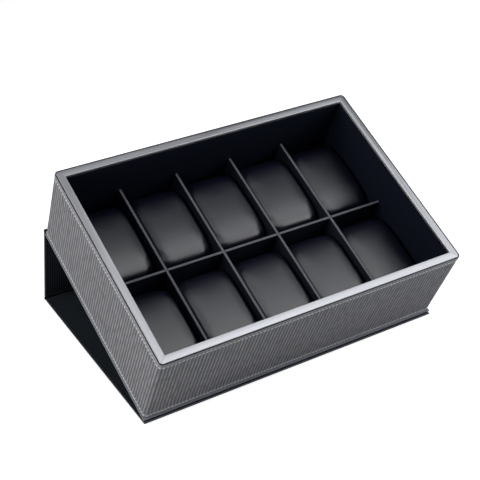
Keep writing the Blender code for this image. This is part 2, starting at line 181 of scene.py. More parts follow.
class WatchBoxColours(bpy.types.PropertyGroup):
    """Colours of the finishes."""

    leather: tint("Grey leather", "Ribs of the outer leather", (0.228, 0.230, 0.252))
    thread: tint("Thread", "Topstitching", (0.78, 0.78, 0.80))
    metal: tint("Rim metal", "Brushed frame on the rim", (0.680, 0.690, 0.722))
    lining: tint("Lining", "Cloth inside the tray and the cover", (0.0016, 0.0034, 0.0110))
    cushion: tint("Cushion leather", "Soft leather of the cushions", (0.0026, 0.0034, 0.0125))
    weave: tint("Cover weave", "Woven cover of base, spine and lid", (0.0068, 0.0092, 0.0128))
    # Cover edge colour: partly real edge paint and wear of the boards, partly painted highlight along the lid's
    # and spine's edges.
    edge_wear_highlight_tint: tint("Cover edge", "Painted, worn edge of the cover's boards", (0.150, 0.160, 0.185))
    # Painted highlight along the dividers' rounded tops.
    crest: tint("Divider crest", "Rubbed top edge of the dividers", (0.140, 0.142, 0.165))
    edge: tint("Edge strip", "Strip between the leather and the metal", (0.008, 0.008, 0.010))
    board: tint("Board", "Hidden card of the walls and the floor", (0.30, 0.22, 0.15))


class WatchBoxStudio(bpy.types.PropertyGroup):
    """Camera and lights."""

    lens: FloatProperty(
        name="Lens", description="Focal length of the camera", default=86.75, min=10.0, subtype="DISTANCE_CAMERA"
    )
    camera_place: FloatVectorProperty(
        name="Camera place", description="Where the camera stands", size=3,
        default=(-0.49363, -0.79198, 0.68848), subtype="TRANSLATION", unit="LENGTH",
    )
    camera_turn: FloatVectorProperty(
        name="Camera turn", description="Which way the camera looks", size=3,
        default=(math.radians(57.3177), math.radians(-0.4582), math.radians(-31.3332)), subtype="EULER",
        unit="ROTATION",
    )
    sky: FloatProperty(name="Sky", description="Strength of the light from all round", default=0.05, min=0.0)
    key: FloatProperty(name="Key light", description="Power of the large light at the left", default=12.5)
    top: FloatProperty(name="Top light", description="Power of the soft box overhead", default=16.0)
    fill: FloatProperty(name="Fill light", description="Power of the low light at the front right", default=1.5)
    floor_glow: FloatProperty(name="Floor glow", description="Light given off by the white floor", default=0.72)


SETTINGS = {
    "watch_box_sizes": WatchBoxSizes,
    "watch_box_colours": WatchBoxColours,
    "watch_box_studio": WatchBoxStudio,
}
SKY_COLOUR = (0.80, 0.89, 1.0, 1)
# Each light's setting, place, target, size and colour
LIGHTS = {
    "key_light": ("key", (-1.10, 0.05, 0.62), (0.0, 0.0, 0.08), 0.9, (1.0, 0.99, 0.97)),
    "top_light": ("top", (0.78, -0.80, 1.30), (0.78, -0.80, 0.0), 1.8, (0.975, 0.98, 1.0)),
    "fill_light": ("fill", (0.62, -0.55, 0.35), (0.16, -0.10, 0.06), 0.35, (1.0, 1.0, 1.0)),
}


# ---- Finishes -----------------------------------------------------------------------------------------------

MIX_FIRST, MIX_SECOND, MIX_RESULT = 6, 7, 2  # a Mix node's colour sockets, which share names with its others
PAPER_WHITE = (0.84, 0.84, 0.84)


class Nodes:
    """A node tree, with short ways to add to it."""

    def __init__(self, tree):
        self.tree = tree

    def feed(self, made, inputs):
        """Joins an input given as a socket, and sets any other value."""
        for key, value in inputs.items():
            if isinstance(value, bpy.types.NodeSocket):
                self.tree.links.new(value, made.inputs[key])
            else:
                made.inputs[key].default_value = value

    def add(self, kind, inputs=None, **settings):
        made = self.tree.nodes.new(f"ShaderNode{kind}")
        for key, value in settings.items():
            setattr(made, key, value)
        self.feed(made, inputs or {})
        return made

    def maths(self, operation, first, second):
        return self.add("Math", {0: first, 1: second}, operation=operation).outputs[0]

    def product(self, first, *others):
        for other in others:
            first = self.maths("MULTIPLY", first, other)
        return first

    def spread(self, value, low, high, new_low=0.0, new_high=1.0):
        """Turns a value's useful range into another range."""
        inputs = {"Value": value, "From Min": low, "From Max": high, "To Min": new_low, "To Max": new_high}
        return self.add("MapRange", inputs).outputs["Result"]

    def noise(self, vector, **inputs):
        return self.add("TexNoise", {"Vector": vector, **inputs}).outputs


def group(name, inputs, outputs, fill):
    """A shader node group, made once, with float or vector inputs and outputs."""
    tree = bpy.data.node_groups.get(name)
    if tree is None:
        tree = bpy.data.node_groups.new(name, "ShaderNodeTree")
        for direction, sockets in (("INPUT", inputs), ("OUTPUT", outputs)):
            for label, default in sockets.items():
                kind = "NodeSocketVector" if default is None else "NodeSocketFloat"
                socket = tree.interface.new_socket(label, in_out=direction, socket_type=kind)
                if default is not None:
                    socket.default_value = default
        nodes = Nodes(tree)
        came = tree.nodes.new("NodeGroupInput").outputs
        nodes.feed(tree.nodes.new("NodeGroupOutput"), fill(nodes, came))
    return tree


def leather_grain():
    """Fine pebbles with creases between them, and a slow unevenness."""

    def fill(nodes, came):
        place = came["Vector"]
        bent = nodes.noise(place, Scale=90.0, Detail=2.0)
        pushed = nodes.add("VectorMath", {0: bent["Color"], "Scale": 0.004}, operation="SCALE")
        moved = nodes.add("VectorMath", {0: place, 1: pushed.outputs[0]}, operation="ADD")
        inputs = {"Vector": moved.outputs[0], "Scale": came["Pebbles"]}
        cells = nodes.add("TexVoronoi", inputs, feature="DISTANCE_TO_EDGE")
        pebble = nodes.spread(cells.outputs["Distance"], 0.0, 0.22)
        slow = nodes.noise(place, Scale=60.0, Detail=4.0, Roughness=0.6)["Fac"]
        height = nodes.maths("ADD", pebble, nodes.product(slow, came["Unevenness"]))
        return {"Height": height, "Crease": nodes.maths("SUBTRACT", 1.0, pebble)}

    inputs = {"Vector": None, "Pebbles": 1500.0, "Unevenness": 0.5}
    return group("leather_grain", inputs, {"Height": 0.0, "Crease": 0.0}, fill)


def mottle():
    """Slow light and dark clouds about one, for colour and shine that are never quite even."""

    def fill(nodes, came):
        cloud = nodes.noise(came["Vector"], Scale=came["Scale"], Detail=5.0, Roughness=0.62)["Fac"]
        swing = nodes.product(nodes.maths("SUBTRACT", cloud, 0.5), came["Amount"])
        return {"Value": nodes.maths("ADD", swing, 1.0)}

    return group("mottle", {"Vector": None, "Scale": 20.0, "Amount": 0.3}, {"Value": 1.0}, fill)


def brushing():
    """Long fine scratches along X, in two widths."""

    def fill(nodes, came):
        streaks = []
        for across, along, share in ((2600.0, 14.0, 0.6), (900.0, 5.0, 0.4)):
            drawn = nodes.add("Mapping", {"Vector": came["Vector"], "Scale": (along, across, across)})
            streak = nodes.noise(drawn.outputs[0], Scale=1.0, Detail=3.0, Roughness=0.65)["Fac"]
            streaks.append(nodes.product(streak, share))
        return {"Streak": nodes.maths("ADD", *streaks)}

    return group("brushing", {"Vector": None}, {"Streak": 0.5}, fill)


def fine_cloth():
    """A tight plain weave: two sets of threads that cross, with a soft nap over them."""

    def fill(nodes, came):
        threads = []
        for direction in ("X", "Y"):
            inputs = {"Vector": came["Vector"], "Scale": came["Threads"], "Distortion": 0.6, "Detail": 1.0}
            wave = nodes.add("TexWave", inputs, wave_type="BANDS", bands_direction=direction)
            threads.append(wave.outputs["Fac"])
        nap = nodes.noise(came["Vector"], Scale=1400.0, Detail=3.0)["Fac"]
        return {"Height": nodes.maths("ADD", nodes.product(*threads), nap), "Nap": nap}

    return group("fine_cloth", {"Vector": None, "Threads": 300.0}, {"Height": 0.0, "Nap": 0.5}, fill)


class Finish(Nodes):
    """A material in the making, with its shader's fixed values set."""

    def __init__(self, name, fixed):
        self.material = bpy.data.materials.new(name)
        self.material.use_nodes = True
        super().__init__(self.material.node_tree)
        self.shader = self.tree.nodes["Principled BSDF"]
        self.feed(self.shader, fixed)
        place = self.add("TexCoord").outputs
        self.place, self.uv = place["Object"], place["UV"]

    def attribute(self, name):
        return self.add("Attribute", attribute_name=name).outputs["Fac"]

    def pattern(self, made, vector, **inputs):
        """Places one of the shared groups."""
        return self.add("Group", {"Vector": vector, **inputs}, node_tree=made).outputs

    def grain(self, vector, pebbles, unevenness):
        return self.pattern(leather_grain(), vector, Pebbles=pebbles, Unevenness=unevenness)

    def clouds(self, vector, scale, amount):
        return self.pattern(mottle(), vector, Scale=scale, Amount=amount)["Value"]

    def shade(self, colour, *factors):
        """A colour made lighter or darker by several values."""
        inputs = {0: tuple(colour), "Scale": self.product(*factors)}
        return self.add("VectorMath", inputs, operation="SCALE").outputs[0]

    def two_tone(self, amount, first, second):
        inputs = {"Factor": amount, MIX_FIRST: first, MIX_SECOND: second}
        return self.add("Mix", inputs, data_type="RGBA").outputs[MIX_RESULT]

    def done(self, colour, rough=None, height=None, depth=0.0):
        """Joins the colour, the roughness and a relief of that depth to the shader. Returns the material."""
        joined = {"Base Color": colour}
        if rough is not None:
            joined["Roughness"] = rough
        if height is not None:
            bump = self.add("Bump", {"Height": height, "Distance": depth, "Strength": 1.0})
            joined["Normal"] = bump.outputs["Normal"]
        self.feed(self.shader, joined)
        return self.material


def ribbed_leather(colours):
    """Grey coated leather: painted highlight on its ribs, painted shade in its grooves and fold line, with fine
    pebbles all over.
    """
    fixed = {"Specular IOR Level": 0.45, "Sheen Weight": 0.05, "Sheen Roughness": 0.4}
    made = Finish("ribbed_grey_leather", fixed)
    rib = made.attribute("rib")
    grain = made.grain(made.uv, 1300.0, 0.4)
    clouds = made.clouds(made.uv, 28.0, 0.22)
    # Painted light: the rib mark makes the ridges lighter and the grooves and fold line darker, as highlight and
    # shade would.
    ribs = made.spread(rib, 0.0, 1.0, 0.26, 1.22)
    creases = made.spread(grain["Crease"], 0.0, 1.0, 1.03, 0.86)
    rough = made.product(clouds, made.spread(rib, 0.0, 1.0, 0.62, 0.46))
    return made.done(made.shade(colours.leather, ribs, creases, clouds), rough, grain["Height"], 0.00006)


def woven_cover(colours):
    """Black coated cloth in a coarse basket weave, with painted highlights on the weave's tops and painted shade
    between them.
    """
    made = Finish("black_woven_cover", {"Specular IOR Level": 0.4})
    relief = made.attribute("relief")
    cloth = made.pattern(fine_cloth(), made.uv, Threads=420.0)
    clouds = made.clouds(made.uv, 22.0, 0.35)
    # Painted light: relief makes the weave's tops much lighter and its lows near black, as highlight and shade;
    # smooth parts get the darkest, shaded tone.
    body = made.shade(colours.weave, made.spread(relief, 0.45, 1.0, 0.05, 17.0), clouds)
    # The rims mix in the edge colour: partly real edge wear, partly painted highlight.
    colour = made.two_tone(made.attribute("worn"), body, made.shade(colours.edge_wear_highlight_tint, clouds))
    rough = made.product(clouds, made.spread(relief, 0.0, 1.0, 0.65, 0.32))
    return made.done(colour, rough, cloth["Height"], 0.00005)


def cushion_leather(colours):
    """Soft black leather with a very fine grain and a low shine."""
    fixed = {"Specular IOR Level": 1.0, "Coat Weight": 0.25, "Coat Roughness": 0.26}
    made = Finish("soft_cushion_leather", fixed)
    grain = made.grain(made.place, 1100.0, 0.7)
    clouds = made.clouds(made.place, 35.0, 0.12)
    creases = made.spread(grain["Crease"], 0.0, 1.0, 1.05, 0.80)
    colour = made.shade(colours.cushion, creases, clouds)
    return made.done(colour, made.product(clouds, 0.31), grain["Height"], 0.00003)


def lining_cloth(colours):
    """Near-black blue lining with a short nap."""
    made = Finish("black_lining_cloth", {"Specular IOR Level": 0.15})
    cloth = made.pattern(fine_cloth(), made.place, Threads=260.0)
    clouds = made.clouds(made.place, 40.0, 0.5)
    nap = made.spread(cloth["Nap"], 0.3, 0.7, 0.75, 1.25)
    return made.done(made.shade(colours.lining, nap, clouds), made.product(clouds, 0.80), cloth["Height"], 0.00006)


def divider_leather(colours):
    """The dividers' smooth black covering, with a painted highlight along the top."""
    made = Finish("divider_covering", {"Specular IOR Level": 0.3})
    grain = made.grain(made.place, 1600.0, 0.5)
    clouds = made.clouds(made.place, 45.0, 0.4)
    crest = made.attribute("crest")
    side = made.shade(colours.lining, made.spread(grain["Crease"], 0.0, 1.0, 1.08, 0.75), clouds)
    # Painted highlight: the top is mixed to the lighter crest colour.
    colour = made.two_tone(crest, side, made.shade(colours.crest, clouds))
    rough = made.product(clouds, made.spread(crest, 0.0, 1.0, 0.62, 0.32))
    return made.done(colour, rough, grain["Height"], 0.00005)


def edge_strip_finish(colours):
    """Black painted edge, slightly uneven."""
    made = Finish("black_edge_strip", {"Specular IOR Level": 0.4})
    clouds = made.clouds(made.place, 120.0, 0.5)
    return made.done(made.shade(colours.edge, clouds), made.product(clouds, 0.45), clouds, 0.00008)


def rim_metal(colours):
    """Aluminium brushed along each bar, with faint handling marks."""
    made = Finish("brushed_rim_metal", {"Metallic": 1.0, "Anisotropic": 0.35})
    streak = made.pattern(brushing(), made.uv)["Streak"]
    marks = made.clouds(made.place, 18.0, 0.18)
    tone = made.spread(streak, 0.3, 0.7, 0.90, 1.06)
    rough = made.product(made.spread(streak, 0.3, 0.7, 0.45, 0.57), marks)
    return made.done(made.shade(colours.metal, tone, marks), rough, streak, 0.00003)


def thread_finish(colours):
    """Twisted sewing thread."""
    made = Finish("grey_sewing_thread", {"Roughness": 0.75, "Specular IOR Level": 0.3, "Sheen Weight": 0.2})
    inputs = {"Vector": made.uv, "Scale": 1.6, "Distortion": 0.4}
    ply = made.add("TexWave", inputs, wave_type="BANDS", bands_direction="DIAGONAL").outputs["Fac"]
    clouds = made.clouds(made.uv, 3.0, 0.3)
    tone = made.spread(ply, 0.0, 1.0, 0.70, 1.08)
    return made.done(made.shade(colours.thread, tone, clouds), None, ply, 0.00010)


def card_board(colours):
    """Pressed grey-brown card of the hidden boards."""
    made = Finish("pressed_card", {"Specular IOR Level": 0.2})
    fibres = made.noise(made.place, Scale=700.0, Detail=5.0, Roughness=0.7)["Fac"]
    clouds = made.clouds(made.place, 50.0, 0.4)
    tone = made.spread(fibres, 0.3, 0.7, 0.75, 1.2)
    return made.done(made.shade(colours.board, tone, clouds), made.product(clouds, 0.88), fibres, 0.0001)


def studio_paper(_):
    """White paper of the studio floor, with a glow that is seen but lights nothing."""
    fixed = {"Roughness": 0.9, "Specular IOR Level": 0.1, "Emission Color": (1, 1, 1, 1)}
    made = Finish("studio_paper", fixed)
    seen = made.add("LightPath").outputs["Is Camera Ray"]
    glow = made.spread(seen, 0.0, 1.0, 0.0, bpy.context.scene.watch_box_studio.floor_glow)
    made.feed(made.shader, {"Emission Strength": glow})
    return made.done(made.shade(PAPER_WHITE, made.clouds(made.place, 3.0, 0.02)))


# Each finish with the slot of the record that it stands for
FINISHES = {
    "leather": (ribbed_leather, "grey_leather"),
    "weave": (woven_cover, "black_weave"),
    "cushion": (cushion_leather, "cushion_leather"),
    "lining": (lining_cloth, "black_lining"),
    "divider": (divider_leather, "black_lining"),
    "edge": (edge_strip_finish, "black_edge"),
    "metal": (rim_metal, "brushed_frame"),
    "thread": (thread_finish, "grey_thread"),
    "board": (card_board, "board"),
    "paper": (studio_paper, None),
}
made_finishes = {}


def finish(context, key):
    """The finish of that name, made the first time it is asked for."""
    if key not in made_finishes:
        made_finishes[key] = FINISHES[key][0](context.scene.watch_box_colours)
    return made_finishes[key]


# ---- Shared modelling ---------------------------------------------------------------------------------------


def put(context, name, bm, key, body, nodes=(), place=None, smooth_to=40.0):
    """Turns a finished bmesh into a piece in its place, riding on a body and standing for some nodes."""
    if place is not None:
        bm.transform(place)
    mesh = bpy.data.meshes.new(name)
    bm.to_mesh(mesh)
    bm.free()
    mesh.shade_smooth()
    mesh.set_sharp_from_angle(angle=math.radians(smooth_to))
    mesh.materials.append(finish(context, key))
    piece = bpy.data.objects.new(name, mesh)
    context.scene.collection.objects.link(piece)
    if body is not None:
        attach(piece, body)
    if nodes:
        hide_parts(*nodes)
    return piece


def box_uv(bm):
    """Lays each face's UVs, in metres, straight on from the side that it faces most."""
    layer = bm.loops.layers.uv.verify()
    for face in bm.faces:
        sizes = [abs(part) for part in face.normal]
        across = {0: (1, 2), 1: (0, 2), 2: (0, 1)}[sizes.index(max(sizes))]
        for loop in face.loops:
            loop[layer].uv = (loop.vert.co[across[0]], loop.vert.co[across[1]])


def bevel(bm, edges, width, segments):
    bmesh.ops.bevel(
        bm, geom=edges, affect="EDGES", offset=width, segments=segments, profile=0.5, material=-1,
        clamp_overlap=True,
    )


def add_block(bm, low, high):
    """Adds a block between two corners and returns its vertices."""
    low, high = Vector(low), Vector(high)
    fit = Matrix.Translation((low + high) / 2) @ Matrix.Diagonal((*(high - low), 1))
    return bmesh.ops.create_cube(bm, size=1, matrix=fit)["verts"]


def add_shape(bm, shape):
    """Adds another bmesh's shape to this one, and frees it."""
    mesh = bpy.data.meshes.new("shape")
    shape.to_mesh(mesh)
    shape.free()
    bm.from_mesh(mesh)
    bpy.data.meshes.remove(mesh)


def everything(bm):
    return bm.verts[:] + bm.edges[:] + bm.faces[:]


def along_axis(axis, amount):
    found = Vector((0, 0, 0))
    found[axis] = amount
    return found


def lies_at(edge, axis, place):
    """Whether the whole edge lies at one place along an axis."""
    return all(abs(vert.co[axis] - place) < SAME for vert in edge.verts)


def runs_along(edge, axis):
    return abs(edge.verts[0].co[axis] - edge.verts[1].co[axis]) > SAME


def rounded_block(bm, low, high, width, segments=3):
    """Adds a block with all its edges rounded."""
    verts = add_block(bm, low, high)
    edges = list({edge for vert in verts for edge in vert.link_edges})
    bevel(bm, edges, width, segments)


class Outline:
    """The tray's rounded outline, followed from the middle of its rear side through left, front and right."""

    def __init__(self, wide, deep, radius):
        self.radius = radius
        self.runs = []
        start, heading = Vector((wide / 2, deep)), Vector((-1, 0))
        half = wide / 2 - radius
        for number, run in enumerate((half, deep - 2 * radius, wide - 2 * radius, deep - 2 * radius, half)):
            self.runs.append((False, start.copy(), heading.copy(), run))
            start = start + heading * run
            if number < 4:
                left = Vector((-heading.y, heading.x))
                self.runs.append((True, start + left * radius, heading.copy(), radius * math.pi / 2))
                start = start + (heading + left) * radius
                heading = left
        self.total = sum(run[3] for run in self.runs)

    def at(self, along):
        """The point that far along, with the directions along and out."""
        for curved, start, heading, run in self.runs:
            if along <= run or run is self.runs[-1][3] and start is self.runs[-1][1]:
                break
            along -= run
        if curved:
            turn = along / self.radius
            heading = Vector((
                heading.x * math.cos(turn) - heading.y * math.sin(turn),
                heading.x * math.sin(turn) + heading.y * math.cos(turn),
            ))
            out = Vector((heading.y, -heading.x))
            return start + out * self.radius, heading, out
        return start + heading * along, heading, Vector((heading.y, -heading.x))

    def stations(self, straight_steps, corner_steps):
        """Distances along that divide the straight sides coarsely and the corners finely."""
        found, along = [0.0], 0.0
        for curved, _, _, run in self.runs:
            steps = corner_steps if curved else straight_steps
            found += [along + run * (step + 1) / steps for step in range(steps)]
            along += run
        return found


OUTLINE = Outline(WIDE, DEEP, CORNER_RADIUS)


def ring_sheet(stations, profile, place_point, closed):
    """A grid bent round the tray's outline. place_point gives (out, up, mark) for a station and a profile entry.

    The mark is kept on each point as the attribute rib, which the leather's finish turns into painted highlight
    and shade. A closed profile's last row meets its first.
    """
    bm = bmesh.new()
    layer = bm.loops.layers.uv.new("UVMap")
    mark_layer = bm.verts.layers.float.new("rib")
    columns, rows = len(stations) - 1, len(profile) - 1
    bmesh.ops.create_grid(bm, x_segments=columns, y_segments=rows, size=0.5, calc_uvs=False)
    spots = {}
    for vert in bm.verts:
        column, row = round((vert.co.x + 0.5) * columns), round((vert.co.y + 0.5) * rows)
        along = stations[column]
        point, _, outwards = OUTLINE.at(along)
        out, up, mark = place_point(column, row)
        spots[vert] = (along, up)
        vert[mark_layer] = mark
        vert.co = (point + outwards * out).to_3d() + Vector((0, 0, up))
    for face in bm.faces:
        for loop in face.loops:
            loop[layer].uv = spots[loop.vert]
    bmesh.ops.remove_doubles(bm, verts=bm.verts, dist=SAME)
    if not closed:
        bmesh.ops.bridge_loops(bm, edges=[edge for edge in bm.edges if edge.is_boundary])
    bmesh.ops.recalc_face_normals(bm, faces=bm.faces)
    return bm


# ---- Pieces -------------------------------------------------------------------------------------------------


class BuildLeatherWrap(bpy.types.Operator):
    """Make the ribbed grey leather round the tray, pulled in along both seams"""

    bl_idname = "watch_box.leather_wrap"
    bl_label = "Leather Wrap"

    def execute(self, context):
        sizes = context.scene.watch_box_sizes
        ribs = round(OUTLINE.total / sizes.rib_pitch)
        columns = ribs * COLUMNS_TO_A_RIB
        stations = [OUTLINE.total * column / columns for column in range(columns + 1)]
        seams = seam_heights()
        ribbed_low, ribbed_high = seams[0] + SEAM_CLEAR, seams[1] - SEAM_CLEAR
        ribbed_rows = round((ribbed_high - ribbed_low) / sizes.rib_step)
        heights = [0.0, WRAP_EASE, LOW_ROLL, seams[0] - SEAM_SIDE, seams[0], seams[0] + SEAM_SIDE]
        first_ribbed = len(heights)
        heights += [ribbed_low + (ribbed_high - ribbed_low) * row / ribbed_rows for row in range(ribbed_rows + 1)]
        last_ribbed = len(heights) - 1
        top = WRAP_HIGH.z
        fold = seams[1] + sizes.fold_rise
        roll_middle = (fold + top) / 2
        heights += [seams[1] - SEAM_SIDE, seams[1], seams[1] + SEAM_SIDE, (seams[1] + fold) / 2]
        heights += [fold - FOLD_SIDE, fold, fold + FOLD_SIDE, roll_middle, top - WRAP_EASE, top]
        profile = [heights[0], *heights, heights[-1]]

        def place_point(column, row):
            index = min(max(row - 1, 0), len(heights) - 1)
            up = heights[index]
            if row in (0, len(profile) - 1):
                return -WRAP_THICK, up, 0.0
            inside = first_ribbed <= index <= last_ribbed
            rib, step = divmod(column, COLUMNS_TO_A_RIB)
            # The ridge value is kept as the rib mark: the leather's finish paints highlight where it is high and
            # shade where it is low.
            ridge = 0.5 + 0.5 * math.cos(2 * math.pi * step / COLUMNS_TO_A_RIB)
            if inside:
                owner = (rib if step < COLUMNS_TO_A_RIB / 2 else rib + 1) % ribs
                fading = noise.noise(Vector((owner * 0.83, up * 120, 3.1)))
                ridge *= min(max(0.86 + 0.6 * fading, 0.45), 1.0)
                if index in (first_ribbed, last_ribbed):
                    ridge = 0.5 + 0.5 * ridge
            else:
                ridge = 0.70 + 0.30 * ridge
            out = -(1.0 - ridge) * sizes.rib_depth
            for seam in seams:
                out -= sizes.seam_dip * math.exp(-(((up - seam) / SEAM_REACH) ** 2))
            # The fold line gets the lowest mark, so painted shade runs along it.
            if up == fold:
                out -= sizes.fold_dip
                ridge = 0.0
            if up in (roll_middle, LOW_ROLL):
                out += sizes.roll
            if index in (0, len(heights) - 1):
                out -= WRAP_EASE
            return min(out, 0.0002), up, ridge

        bm = ring_sheet(stations, profile, place_point, closed=False)
        put(context, "leather_wrap", bm, "leather", "tray", ["outer_wrap"], TRAY, smooth_to=75.0)
        return {"FINISHED"}


def seam_heights():
    """The heights of the lower and upper lines of stitching."""
    heights = []
    for node in ("stitching_lower", "stitching_upper"):
        low, high = box_in(TRAY, node)
        heights.append((low.z + high.z) / 2)
    return heights


class BuildStitching(bpy.types.Operator):
    """Sew both lines of topstitching, one short thread after another"""

    bl_idname = "watch_box.stitching"
    bl_label = "Stitching"

    def execute(self, context):
        sizes = context.scene.watch_box_sizes
        pitches = (sizes.lower_pitch, sizes.upper_pitch)
        for name, height, pitch in zip(("lower", "upper"), seam_heights(), pitches):
            bm = bmesh.new()
            bm.loops.layers.uv.new("UVMap")
            count = round(OUTLINE.total / pitch)
            for number in range(count):
                along = OUTLINE.total * (number + 0.5) / count
                point, heading, out = OUTLINE.at(along)
                wobble = noise.noise(Vector((number * 0.37, height * 900, 0)))
                axes = Matrix((heading.to_3d(), Vector((0, 0, 1)), -out.to_3d())).transposed().to_4x4()
                centre = (point - out * THREAD_SINK).to_3d() + Vector((0, 0, height + 0.00006 * wobble))
                turn = Matrix.Rotation(THREAD_SLANT * (1 + 0.5 * wobble), 4, "Z")
                turn @= Matrix.Rotation(math.pi / 2, 4, "Y")
                half = sizes.thread / 2
                size = Matrix.Diagonal((half, half, sizes.stitch / 2 * (1 + 0.06 * wobble), 1))
                fit = Matrix.Translation(centre) @ axes @ turn @ size
                bmesh.ops.create_uvsphere(bm, u_segments=8, v_segments=6, radius=1, matrix=fit, calc_uvs=True)
            bmesh.ops.recalc_face_normals(bm, faces=bm.faces)
            put(context, f"stitches_{name}", bm, "thread", "tray", [f"stitching_{name}"], TRAY, smooth_to=180.0)
        return {"FINISHED"}


class BuildRim(bpy.types.Operator):
    """Make the black edge strip and the four mitred bars of brushed metal"""

    bl_idname = "watch_box.rim"
    bl_label = "Rim"

    def execute(self, context):
        self.edge_strip(context)
        for side in SIDES:
            self.bar(context, side)
        return {"FINISHED"}

    def edge_strip(self, context):
        low, high = box_in(TRAY, "edge_strip")
        top, bottom = high.z, low.z
        near, far = -low.x, EDGE_STRIP_BACK
        steps, half = 5, (high.z - low.z) / 2
        points = [(far, bottom), (near - half, bottom)]
        for step in range(1, steps):
            turn = -math.pi / 2 + math.pi * step / steps
            points.append((near - half + half * math.cos(turn), bottom + half + half * math.sin(turn)))
        points += [(near - half, top), (far, top), (far, bottom)]
        stations = OUTLINE.stations(6, 8)
        bm = ring_sheet(stations, points, lambda column, row: (*points[row], 1.0), closed=True)
        put(context, "edge_bead", bm, "edge", "tray", ["edge_strip"], TRAY)

    def bar(self, context, side):
        """A bar run out to both corners, rounded there, cut at 45 degrees and eased along its top edges."""
        low, high = box_in(TRAY, f"frame_{side}")
        whole_low, whole_high = box_in(TRAY, *[f"frame_{other}" for other in SIDES])
        bottom, top = low.z, high.z
        along, across = (0, 1) if side in ("front", "rear") else (1, 0)
        start, end = low.copy(), high.copy()
        start[along], end[along] = whole_low[along], whole_high[along]
        bm = bmesh.new()
        add_block(bm, start, end)
        outside = low if side in ("front", "left") else high
        corners = [
            edge for edge in bm.edges
            if lies_at(edge, across, outside[across]) and runs_along(edge, 2)
        ]
        bevel(bm, corners, CORNER_RADIUS - whole_low.x, 6)
        inwards = 1.0 if side in ("front", "left") else -1.0
        for edge_place, direction in ((start[along], 1.0), (end[along], -1.0)):
            plane = (along_axis(along, direction) + along_axis(across, -inwards)).normalized()
            corner = along_axis(along, edge_place) + along_axis(across, outside[across])
            cut = bmesh.ops.bisect_plane(
                bm, geom=everything(bm), plane_co=corner + plane * MITRE_GAP, plane_no=-plane, clear_outer=True
            )
            edges = [part for part in cut["geom_cut"] if isinstance(part, bmesh.types.BMEdge)]
            bmesh.ops.holes_fill(bm, edges=edges, sides=0)
        bmesh.ops.remove_doubles(bm, verts=bm.verts, dist=SAME)
        bmesh.ops.recalc_face_normals(bm, faces=bm.faces)
        inside = high if side in ("front", "left") else low
        tops = [edge for edge in bm.edges if lies_at(edge, 2, top)]
        inner = [edge for edge in tops if lies_at(edge, across, inside[across])]
        outer = [edge for edge in tops if edge not in inner and not is_slanting(edge, along, across)]
        bevel(bm, outer + inner, BAR_ROUND, 3)
        slope = context.scene.watch_box_sizes.bar_slope / abs(inside[across] - outside[across])
        for vert in bm.verts:
            if vert.co.z > bottom + SAME:
                vert.co.z -= slope * abs(vert.co[across] - inside[across])
        layer = bm.loops.layers.uv.verify()
        for face in bm.faces:
            for loop in face.loops:
                place = loop.vert.co
                loop[layer].uv = (place[along], place[across] + place.z)
        put(context, f"bar_{side}", bm, "metal", "tray", [f"frame_{side}"], TRAY, smooth_to=50.0)


def is_slanting(edge, along, across):
    """Whether an edge runs at 45 degrees, as a mitre's does."""
    run = edge.verts[1].co - edge.verts[0].co
    return abs(run.z) < 1e-7 and abs(abs(run[along]) - abs(run[across])) < 1e-5 and run.length > 0.005


class BuildLinings(bpy.types.Operator):
    """Make the covered cards that line the tray's walls and floor"""

    bl_idname = "watch_box.linings"
    bl_label = "Linings"

    def execute(self, context):
        for part in (*SIDES, "floor"):
            low, high = box_in(TRAY, f"lining_{part}")
            bm = bmesh.new()
            rounded_block(bm, low, high, FLOOR_LINING_ROUND if part == "floor" else WALL_LINING_ROUND)
            box_uv(bm)
            put(context, f"lined_{part}", bm, "lining", "tray", [f"lining_{part}"], TRAY)
        return {"FINISHED"}


class BuildDividers(bpy.types.Operator):
    """Make the crossing dividers, their covering folded over the top with a fine groove"""

    bl_idname = "watch_box.dividers"
    bl_label = "Dividers"

    def execute(self, context):
        boxes = [box_in(TRAY, node) for node in CROSSES]
        for number, (low, high) in enumerate(boxes, 1):
            bm = bmesh.new()
            self.grooved(bm, low, high, 1)
            put(context, f"cross_divider_{number}", bm, "divider", "tray", [f"divider_cross_{number}"], TRAY)
        low, high = box_in(TRAY, "divider_long")
        starts = [low.x] + [box[1].x + DIVIDER_GAP for box in boxes]
        ends = [box[0].x - DIVIDER_GAP for box in boxes] + [high.x]
        bm = bmesh.new()
        for start, end in zip(starts, ends):
            part = bmesh.new()
            self.grooved(part, (start, low.y, low.z), (end, high.y, high.z), 0)
            add_shape(bm, part)
        put(context, "long_divider", bm, "divider", "tray", ["divider_long"], TRAY)
        return {"FINISHED"}

    def grooved(self, bm, low, high, along):
        """A board along X or Y with a rounded top and a fine groove down its middle."""
        low, high = Vector(low), Vector(high)
        across = 1 - along
        add_block(bm, low, high)
        tops = [edge for edge in bm.edges if lies_at(edge, 2, high.z) and runs_along(edge, along)]
        bevel(bm, tops, DIVIDER_ROUND, 4)
        middle = (low[across] + high[across]) / 2
        for shift in (-GROOVE_SIDE, 0.0, GROOVE_SIDE):
            point = along_axis(across, middle + shift)
            bmesh.ops.bisect_plane(bm, geom=everything(bm), plane_co=point, plane_no=along_axis(across, 1.0))
        # Marks the top for the divider finish's painted highlight.
        crest = bm.verts.layers.float.new("crest")
        for vert in bm.verts:
            vert[crest] = 1.0 if vert.co.z > high.z - GROOVE_SIDE else 0.0
            if abs(vert.co[across] - middle) < SAME and abs(vert.co.z - high.z) < SAME:
                vert.co.z -= GROOVE_DEEP
        bmesh.ops.recalc_face_normals(bm, faces=bm.faces)
        box_uv(bm)


